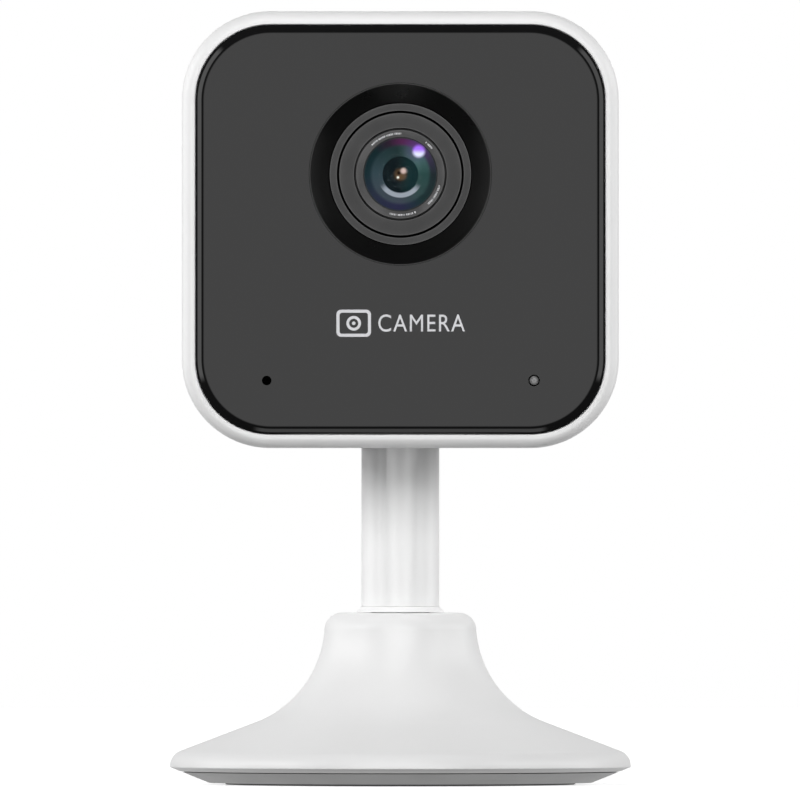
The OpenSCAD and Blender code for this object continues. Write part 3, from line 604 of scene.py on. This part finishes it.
front_shell = loft_square("front_shell_frame", HEAD_HALF, CORNER_R, front_shell_section())


def cut_neck_slot(obj):
    """Cuts the room of the hinge housing out of the frame's lower wall."""
    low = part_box("hinge_housing")[0]
    gap = 0.1 * MM
    cheek = 1.6 * MM
    over = 2 * MM
    wall_top = low.z + 3.5 * MM
    half = half_width("tilt_washers") + cheek + gap
    box = [(sx * half, y, z) for sx in (-1, 1) for y in (low.y - gap, SEAM_Y + over)
           for z in (low.z - over, wall_top)]
    faces = [(0, 1, 3, 2), (4, 6, 7, 5), (0, 4, 5, 1), (2, 3, 7, 6), (0, 2, 6, 4), (1, 5, 7, 3)]
    cut_out(obj, [new_object("slot_cutter", box, faces)])


cut_neck_slot(front_shell)
place(front_shell, white_plastic, "head", "front_shell")

for part, owner, bevel in (("rear_shell", "head", 0.1 * MM), ("hinge_housing", "head", 0.12 * MM),
                           ("neck_stem", "neck", 0.12 * MM)):
    place(refined(part, bevel), white_plastic, owner, part)


# ---------------------------------------------------------------- window

def recrease(obj, sharp):
    """Marks a piece's edges above the sharp angle again, after it was cut."""
    bm = bmesh.new()
    bm.from_mesh(obj.data)
    crease(bm, sharp)
    bm.to_mesh(obj.data)
    bm.free()


def drill(radius, centre_x, centre_z, steps=128):
    """A cutter for a round hole through the window."""
    over = 1 * MM
    line = [(radius, FACE_Y - over), (radius, WINDOW_BACK_Y + over)]
    return cap_ends(spin_front("drill", line, centre_x, centre_z, steps, closed=False))


def window_section():
    """(inset, y) points of the window's edge: back, side, then a faintly bulging bevel."""
    bulge = radians(12)
    slope = atan2(BEVEL_DROP, BEVEL_W)
    chord = sqrt(BEVEL_DROP ** 2 + BEVEL_W ** 2)
    radius = chord / 2 / sin(bulge)
    side_y = FACE_Y + BEVEL_DROP
    section = [(0, WINDOW_BACK_Y), (0, side_y)]
    steps = 12
    turn = slope + bulge
    for i in range(1, steps + 1):
        now = turn - 2 * bulge * i / steps
        section.append((radius * (sin(turn) - sin(now)), side_y - radius * (cos(now) - cos(turn))))
    return section


front_window = cap_ends(loft_square("front_window_pane", WINDOW_HALF, WINDOW_R, window_section(),
                                    closed=False))
cut_out(front_window, [drill(RECESS_R, 0, LENS_Z), drill(MIC_HOLE_R, MIC.x, MIC.z, 48),
                       drill(LIGHT_HOLE_R, LIGHT.x, LIGHT.z, 48)])
recrease(front_window, 7)
place(front_window, SLOT_MATERIALS["window_black"], "head", "front_window")


# ---------------------------------------------------------------- lens

def hood_profile():
    """The recess wall: a rounded lip, a hollow cone and a small step on to the floor."""
    outer = RECESS_R - 0.03 * MM
    lip = 0.3 * MM
    floor_back = RECESS_FLOOR_Y + 0.8 * MM
    drop = RECESS_FLOOR_Y - FACE_Y
    lean = atan2(drop, outer - HOOD_FLOOR_R)
    profile = [(outer, FACE_Y + 1.9 * MM), (outer, FACE_Y + 0.06 * MM)]
    for i in range(11):
        a = lean * i / 10
        profile.append((outer - 0.04 * MM - lip * sin(a), FACE_Y + 0.02 * MM + lip * (1 - cos(a))))
    top_r, top_y = profile[-1]
    foot_r = HOOD_FLOOR_R + 0.06 * MM
    foot_y = RECESS_FLOOR_Y - 0.1 * MM
    for t in (0.02, 0.98, 1.0):
        profile.append((top_r + (foot_r - top_r) * t, top_y + (foot_y - top_y) * t))
    profile.append((HOOD_FLOOR_R, RECESS_FLOOR_Y))
    profile += [(HOOD_FLOOR_R, floor_back), (outer, floor_back)]
    return profile


def soft_ring(name, inner, outer, front, back, edge):
    """A flat ring whose two front edges are rounded."""
    profile = [(inner, back)]
    profile += arc((inner + edge, front + edge), edge, 180, 270, 8)
    profile += arc((outer - edge, front + edge), edge, 270, 360, 8)
    profile += [(outer, back)]
    return spin_front(name, profile, 0, LENS_Z, sharp=14)


def floor_ring_profile():
    """The flat ring round the groove, with a rim behind that closes the gaps on both sides."""
    inner = GROOVE_R + 0.1 * MM
    outer = HOOD_FLOOR_R - 0.05 * MM
    edge = 0.12 * MM
    lap = 0.35 * MM
    rim_y = RECESS_FLOOR_Y + 1.15 * MM
    back_y = rim_y + 0.6 * MM
    profile = [(inner - lap, back_y), (inner - lap, rim_y + lap), (inner, rim_y)]
    profile += arc((inner + edge, RECESS_FLOOR_Y + edge), edge, 180, 270, 8)
    profile += arc((outer - edge, RECESS_FLOOR_Y + edge), edge, 270, 360, 8)
    profile += [(outer, rim_y), (outer + lap, rim_y + lap), (outer + lap, back_y)]
    return profile


place(spin_front("lens_hood_wall", hood_profile(), 0, LENS_Z, sharp=40),
      SLOT_MATERIALS["hood_black"], "head", "lens_hood")
place(spin_front("hood_floor_ring", floor_ring_profile(), 0, LENS_Z, sharp=14),
      SLOT_MATERIALS["ring_grey"], "head", "hood_ring")
place(soft_ring("cover_ring", BARREL_R + 0.14 * MM, GROOVE_R - 0.1 * MM, RECESS_FLOOR_Y,
                RECESS_FLOOR_Y + 1.1 * MM, 0.14 * MM),
      SLOT_MATERIALS["ring_grey"], "head", "lens_cover_ring")


def barrel_profile():
    """The barrel: a plain front ring, thread-like grooves behind it and a stepped bore."""
    edge = 0.12 * MM
    back_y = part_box("lens_barrel")[1].y
    bore = GLASS_R + 0.01 * MM
    bore_edge = 0.05 * MM
    rear_bore = 4.3 * MM
    bore_step_y = BARREL_FRONT_Y + 5.3 * MM
    thread_r = 5.95 * MM
    root_r = thread_r - 0.28 * MM
    thread_y = BARREL_FRONT_Y + 3.9 * MM
    pitch = 0.5 * MM
    profile = [(bore, bore_step_y), (bore, BARREL_FRONT_Y + bore_edge),
               (bore + bore_edge, BARREL_FRONT_Y)]
    profile += arc((BARREL_R - edge, BARREL_FRONT_Y + edge), edge, 270, 360, 8)
    profile += [(BARREL_R, thread_y)]
    turns = int((back_y - thread_y) / pitch) - 1
    for i in range(turns):
        y = thread_y + pitch * (i + 0.3)
        profile += [(thread_r, y), (root_r, y + 0.35 * pitch), (thread_r, y + 0.7 * pitch)]
    profile += [(thread_r, back_y), (rear_bore, back_y), (rear_bore, bore_step_y)]
    return profile


place(spin_front("barrel_tube", barrel_profile(), 0, LENS_Z, sharp=25),
      SLOT_MATERIALS["barrel_black"], "head", "lens_barrel")


def ring_dashes():
    """Fine printed dashes in four arcs on the barrel's front ring, all in degrees."""
    arcs = ((89, 136), (39, 52), (-47, -16), (-105, -69))
    shortest = 0.7
    growth = 0.35
    gap = 0.9
    group_gap = 2.2
    group = 5
    inner = 5.43 * MM
    outer = 5.67 * MM
    front = BARREL_FRONT_Y - 0.012 * MM
    back = BARREL_FRONT_Y + 0.01 * MM
    verts, faces = [], []
    for first, last in arcs:
        angle = first
        count = 0
        while angle < last:
            width = shortest + growth * (count % 4)
            corners = [(r * cos(radians(a)), r * sin(radians(a)))
                       for r, a in ((inner, angle), (outer, angle), (outer, angle + width),
                                    (inner, angle + width))]
            k = len(verts)
            verts += [(x, y, LENS_Z + z) for y in (front, back) for x, z in corners]
            faces += [(k, k + 1, k + 2, k + 3), (k + 4, k + 7, k + 6, k + 5)]
            faces += [(k + i, k + 4 + i, k + 4 + (i + 1) % 4, k + (i + 1) % 4) for i in range(4)]
            angle += width + (gap if count % group < group - 1 else group_gap)
            count += 1
    return new_object("ring_dashes", verts, faces)


place(ring_dashes(), print_silver, "head")


def dome_profile(radius, ball, front_y, thick, steps=20):
    """A thin dome of glass: its front from the rim to the crown, then its back to the rim."""
    def sag(r):
        """How far the dome has fallen back from its crown at radius r."""
        return ball - sqrt(ball ** 2 - r ** 2)
    tiny = 0.01 * MM
    radii = [radius + (tiny - radius) * i / steps for i in range(steps + 1)]
    front = [(r, front_y + sag(r)) for r in radii]
    back = [(r, front_y + thick + sag(r)) for r in reversed(radii)]
    return front + back


def bowl_profile(outer, inner, front_y, depth, steps=14):
    """The back face of the front element, a shallow bowl that ends at the pupil."""
    points = []
    for i in range(steps + 1):
        t = i / steps
        points.append((outer + (inner - outer) * t, front_y + depth * sin(t * pi / 2)))
    back = [(r, y + 0.15 * MM) for r, y in reversed(points)]
    return points + back


PUPIL_R = 2.43 * MM
INNER_GLASS_R = 4.2 * MM
FRONT_BALL = 9 * MM
INNER_BALL = 7 * MM
FRONT_THICK = 0.25 * MM
INNER_THICK = 1.5 * MM
BOWL_DEPTH = 1.2 * MM
FRONT_CROWN_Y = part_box("front_lens")[0].y
INNER_CROWN_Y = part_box("inner_lens")[0].y
BOWL_Y = FRONT_CROWN_Y + 1.75 * MM

glass_dome = spin_front("front_glass", dome_profile(GLASS_R, FRONT_BALL, FRONT_CROWN_Y, FRONT_THICK),
                        0, LENS_Z)
place(glass_dome, SLOT_MATERIALS["lens_glass"], "head", "front_lens")

# The back of the front element carries the self-lit painted reflections.
painted_reflection_bowl = spin_front("front_glass_back",
                         bowl_profile(GLASS_R - 0.01 * MM, PUPIL_R, BOWL_Y, BOWL_DEPTH), 0, LENS_Z)
place(painted_reflection_bowl, painted_reflection_glass, "head")

# The iris plate takes the pupil's self-lit painted reflections and shows as a dark part of the pupil.
frame["nodes"]["iris_plate"].data.materials[0] = pupil_painted_glow
# The inner glass carries the pupil's self-lit painted reflections and highlights.
inner_glass = spin_front("inner_glass",
                         dome_profile(INNER_GLASS_R, INNER_BALL, INNER_CROWN_Y, INNER_THICK),
                         0, LENS_Z)
place(inner_glass, pupil_painted_glow, "head", "inner_lens")


# ---------------------------------------------------------------- small front features

def pipe_profile():
    """The light pipe: a shallow dome in front, a cone behind it and a collar at the back."""
    low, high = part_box("light_pipe")
    collar_r = half_width("light_pipe")
    cone_r = 0.78 * MM
    cone_h = 0.4 * MM
    crown = 0.12 * MM
    tiny = 0.005 * MM
    dome = []
    steps = 8
    for i in range(steps + 1):
        r = LIGHT_R * (1 - i / steps) + tiny
        dome.append((r, low.y + crown * (r / LIGHT_R) ** 2))
    return [(tiny, high.y), (collar_r, high.y), (collar_r, WINDOW_BACK_Y),
            (cone_r, WINDOW_BACK_Y), (LIGHT_R, WINDOW_BACK_Y - cone_h)] + dome


place(spin_front("light_pipe_rod", pipe_profile(), LIGHT.x, LIGHT.z, steps=64),
      SLOT_MATERIALS["pipe_grey"], "head", "light_pipe")


def flat_outline(name, loops, front, back):
    """A thin raised print between two depths, from closed (x, z) loops drawn as bands."""
    verts, faces = [], []
    for outer, inner in loops:
        count = len(outer)
        k = len(verts)
        for y in (front, back):
            verts += [(x, y, z) for x, z in outer] + [(x, y, z) for x, z in inner]
        for i in range(count):
            j = (i + 1) % count
            faces.append((k + i, k + j, k + count + j, k + count + i))
            faces.append((k + 2 * count + i, k + 3 * count + i,
                          k + 3 * count + j, k + 2 * count + j))
            faces.append((k + i, k + 2 * count + i, k + 2 * count + j, k + j))
            faces.append((k + count + i, k + count + j, k + 3 * count + j, k + 3 * count + i))
    return new_object(name, verts, faces)


PRINT_Z = HEAD_Z - 12.75 * MM
PRINT_PROUD = 0.02 * MM
PRINT_LINE = 0.42 * MM


def camera_sign():
    """A generic camera sign: a rounded frame, a lens ring and a dot."""
    centre = (-6.35 * MM, PRINT_Z)
    w, h, r = 2.35 * MM, 1.85 * MM, 0.65 * MM
    frame_loop = (rounded_loop(centre, w, h, r),
                  rounded_loop(centre, w - PRINT_LINE, h - PRINT_LINE, r - PRINT_LINE + 0.1 * MM))
    ring = (arc(centre, 1.0 * MM, 0, 350, 35), arc(centre, 0.62 * MM, 0, 350, 35))
    dot = (arc(centre, 0.25 * MM, 0, 330, 11), arc(centre, 0.01 * MM, 0, 330, 11))
    return flat_outline("camera_sign", [frame_loop, ring, dot], FACE_Y - PRINT_PROUD,
                        FACE_Y + PRINT_PROUD)


def word_mesh(name, text, left, right, low, high):
    """A plain word as thin raised print, fitted between the given sides and heights."""
    curve = bpy.data.curves.new(name, "FONT")
    curve.body = text
    curve.extrude = 1.0
    curve.space_character = 1.12
    holder = bpy.data.objects.new(name + "_curve", curve)
    bpy.context.scene.collection.objects.link(holder)
    bpy.context.view_layer.update()
    depsgraph = bpy.context.evaluated_depsgraph_get()
    mesh = bpy.data.meshes.new_from_object(holder.evaluated_get(depsgraph))
    bpy.data.objects.remove(holder)
    xs = [v.co.x for v in mesh.vertices]
    ys = [v.co.y for v in mesh.vertices]
    for v in mesh.vertices:
        across = (v.co.x - min(xs)) / (max(xs) - min(xs))
        up = (v.co.y - min(ys)) / (max(ys) - min(ys))
        v.co = (left + (right - left) * across, FACE_Y - v.co.z * PRINT_PROUD,
                low + (high - low) * up)
    obj = bpy.data.objects.new(name, mesh)
    bpy.context.scene.collection.objects.link(obj)
    return obj


place(camera_sign(), print_silver, "head")
place(word_mesh("print_word", "CAMERA", left=-3 * MM, right=8.8 * MM, low=PRINT_Z - 1.15 * MM,
                high=PRINT_Z + 1.2 * MM), print_silver, "head")


# ---------------------------------------------------------------- stage

def soft_card(tree, theta, phi, centre, half, turn, turn_half, level):
    """Brightness of a reflected card: a patch of the sky in degrees.

    Theta is the angle from the front (-Y), phi the height angle as seen along that axis.
    """
    soft = 2
    turn_soft = 4
    off_theta = calc(tree, "ABSOLUTE", calc(tree, "SUBTRACT", theta, centre))
    off_phi = calc(tree, "ABSOLUTE", calc(tree, "SUBTRACT", phi, turn))
    patch = calc(tree, "MULTIPLY", step_up(tree, off_theta, half + soft, half - soft),
                 step_up(tree, off_phi, turn_half + turn_soft, turn_half - turn_soft))
    return calc(tree, "MULTIPLY", patch, level)


def build_world():
    """White to the camera, a soft room for matt surfaces, and cards for reflections."""
    world = bpy.data.worlds.new("studio")
    bpy.context.scene.world = world
    world.use_nodes = True
    tree = world.node_tree
    tree.nodes.clear()
    direction = add(tree, "ShaderNodeTexCoord").outputs["Generated"]
    axes = add(tree, "ShaderNodeSeparateXYZ", {"Vector": direction})
    x, y, z = (axes.outputs[axis] for axis in "XYZ")
    theta = calc(tree, "MULTIPLY", calc(tree, "ARCCOSINE", calc(tree, "MULTIPLY", y, -1.0)), 180 / pi)
    phi = calc(tree, "MULTIPLY", calc(tree, "ARCTAN2", z, calc(tree, "ABSOLUTE", x)), 180 / pi)
    dimmest = 0.06
    right = step_up(tree, x, -0.05, 0.05)
    side_level = remap(tree, right, 1.9, 1.6, 0, 1)
    front = calc(tree, "MULTIPLY", step_up(tree, theta, 42, 34), 1.3)
    # Each card: its theta and half width, its phi and half turn, its brightness.
    halo = soft_card(tree, theta, phi, 17, 8, 0, 180, 3.6)
    front = calc(tree, "ADD", front, halo)
    side = soft_card(tree, theta, phi, 59, 10, 14.5, 30.5, side_level)
    below = soft_card(tree, theta, phi, 59, 9, -90, 12, 1.1)
    flank = soft_card(tree, theta, phi, 101, 15, 0, 26, 1.5)
    side = calc(tree, "ADD", side, flank)
    behind = calc(tree, "MULTIPLY", step_up(tree, theta, 95, 125), 0.7)
    total = calc(tree, "ADD", calc(tree, "ADD", front, side), calc(tree, "ADD", below, behind))
    total = calc(tree, "ADD", total, dimmest)
    path = add(tree, "ShaderNodeLightPath")
    sharp_ray = calc(tree, "MAXIMUM", path.outputs["Is Glossy Ray"],
                     path.outputs["Is Transmission Ray"])
    horizon = remap(tree, z, 0.31, 0.44, -0.1, 0.15, "SMOOTHSTEP")
    overhead = remap(tree, z, 0.0, -0.82, 0.25, 0.75, "SMOOTHSTEP")
    room_level = calc(tree, "ADD", horizon, overhead)
    seen = add(tree, "ShaderNodeBackground", {"Color": (1, 1, 1, 1), "Strength": 1.0})
    room = add(tree, "ShaderNodeBackground", {"Color": (1, 1, 1, 1), "Strength": room_level})
    cards = add(tree, "ShaderNodeBackground", {"Color": (1, 1, 1, 1), "Strength": total})
    lit = add(tree, "ShaderNodeMixShader",
              {0: sharp_ray, 1: room.outputs[0], 2: cards.outputs[0]})
    final = add(tree, "ShaderNodeMixShader",
                {0: path.outputs["Is Camera Ray"], 1: lit.outputs[0], 2: seen.outputs[0]})
    add(tree, "ShaderNodeOutputWorld", {"Surface": final.outputs[0]})


def area_light(name, position, target, size, power):
    """A rectangular light that lights matt surfaces but isn't mirrored."""
    light = bpy.data.lights.new(name, "AREA")
    light.shape = "RECTANGLE"
    light.size, light.size_y = size
    light.energy = power
    obj = bpy.data.objects.new(name, light)
    bpy.context.scene.collection.objects.link(obj)
    obj.location = position
    obj.rotation_euler = (Vector(target) - Vector(position)).to_track_quat("-Z", "Y").to_euler()
    obj.visible_glossy = False
    obj.visible_transmission = False


def build_floor():
    """A round of pale paper, which gives off more light further out and so meets the white."""
    mat, tree, shader = node_material("floor_paper")
    shade = remap(tree, noise(tree, 3, 2), 0.93, 0.96)
    shader.inputs["Roughness"].default_value = 0.9
    shader.inputs["Specular IOR Level"].default_value = 0.2
    shader.inputs["Emission Color"].default_value = (1, 1, 1, 1)
    spot_on_floor = add(tree, "ShaderNodeTexCoord").outputs["Object"]
    away = add(tree, "ShaderNodeVectorMath", {0: spot_on_floor}, operation="LENGTH").outputs["Value"]
    glow = remap(tree, away, 0.6, 1.0, 0.1, 0.4)
    tree.links.new(glow, shader.inputs["Emission Strength"])
    color = add(tree, "ShaderNodeCombineColor", {0: shade, 1: shade, 2: shade})
    tree.links.new(color.outputs[0], shader.inputs["Base Color"])
    radius = 1.2
    steps = 96
    floor_z = -0.05 * MM
    rim = [(radius * cos(2 * pi * i / steps), radius * sin(2 * pi * i / steps), floor_z)
           for i in range(steps)]
    floor = new_object("floor", rim, [tuple(range(steps))])
    floor.data.materials.append(mat)
    floor.visible_diffuse = False
    floor.visible_glossy = False
    floor.visible_transmission = False


def build_camera():
    """A long lens straight in front of the window, at half the camera's height."""
    frame_width = 108.9 * MM
    height = 52.5 * MM
    lens = 1600
    data = bpy.data.cameras.new("camera")
    data.sensor_width = 36
    data.lens = lens
    data.clip_end = 50
    obj = bpy.data.objects.new("camera", data)
    bpy.context.scene.collection.objects.link(obj)
    aside = -0.05 * MM
    distance = frame_width * lens / data.sensor_width
    obj.location = (aside, FACE_Y - distance, height)
    obj.rotation_euler = (pi / 2, 0, 0)
    bpy.context.scene.camera = obj


def soft_box(name, azimuth, elevation, distance, size, power):
    """A large area light at an azimuth from the front (+ to the right) and a height angle."""
    aim = Vector((0, 0, 0.05))
    a = radians(azimuth)
    e = radians(elevation)
    offset = Vector((sin(a) * cos(e), -cos(a) * cos(e), sin(e))) * distance
    area_light(name, aim + offset, aim, size, power)


build_world()
build_floor()
build_camera()
soft_box("left_box", -74, 21, 0.8, (0.45, 0.35), 4.1)
soft_box("right_box", 74, 21, 0.8, (0.45, 0.35), 3.7)
soft_box("front_box", -8, 38, 0.9, (0.45, 0.45), 4.3)
soft_box("back_box", 180, 30, 1.2, (0.9, 0.6), 2.5)

scene = bpy.context.scene
scene.view_settings.view_transform = "Standard"
scene.view_settings.look = "None"
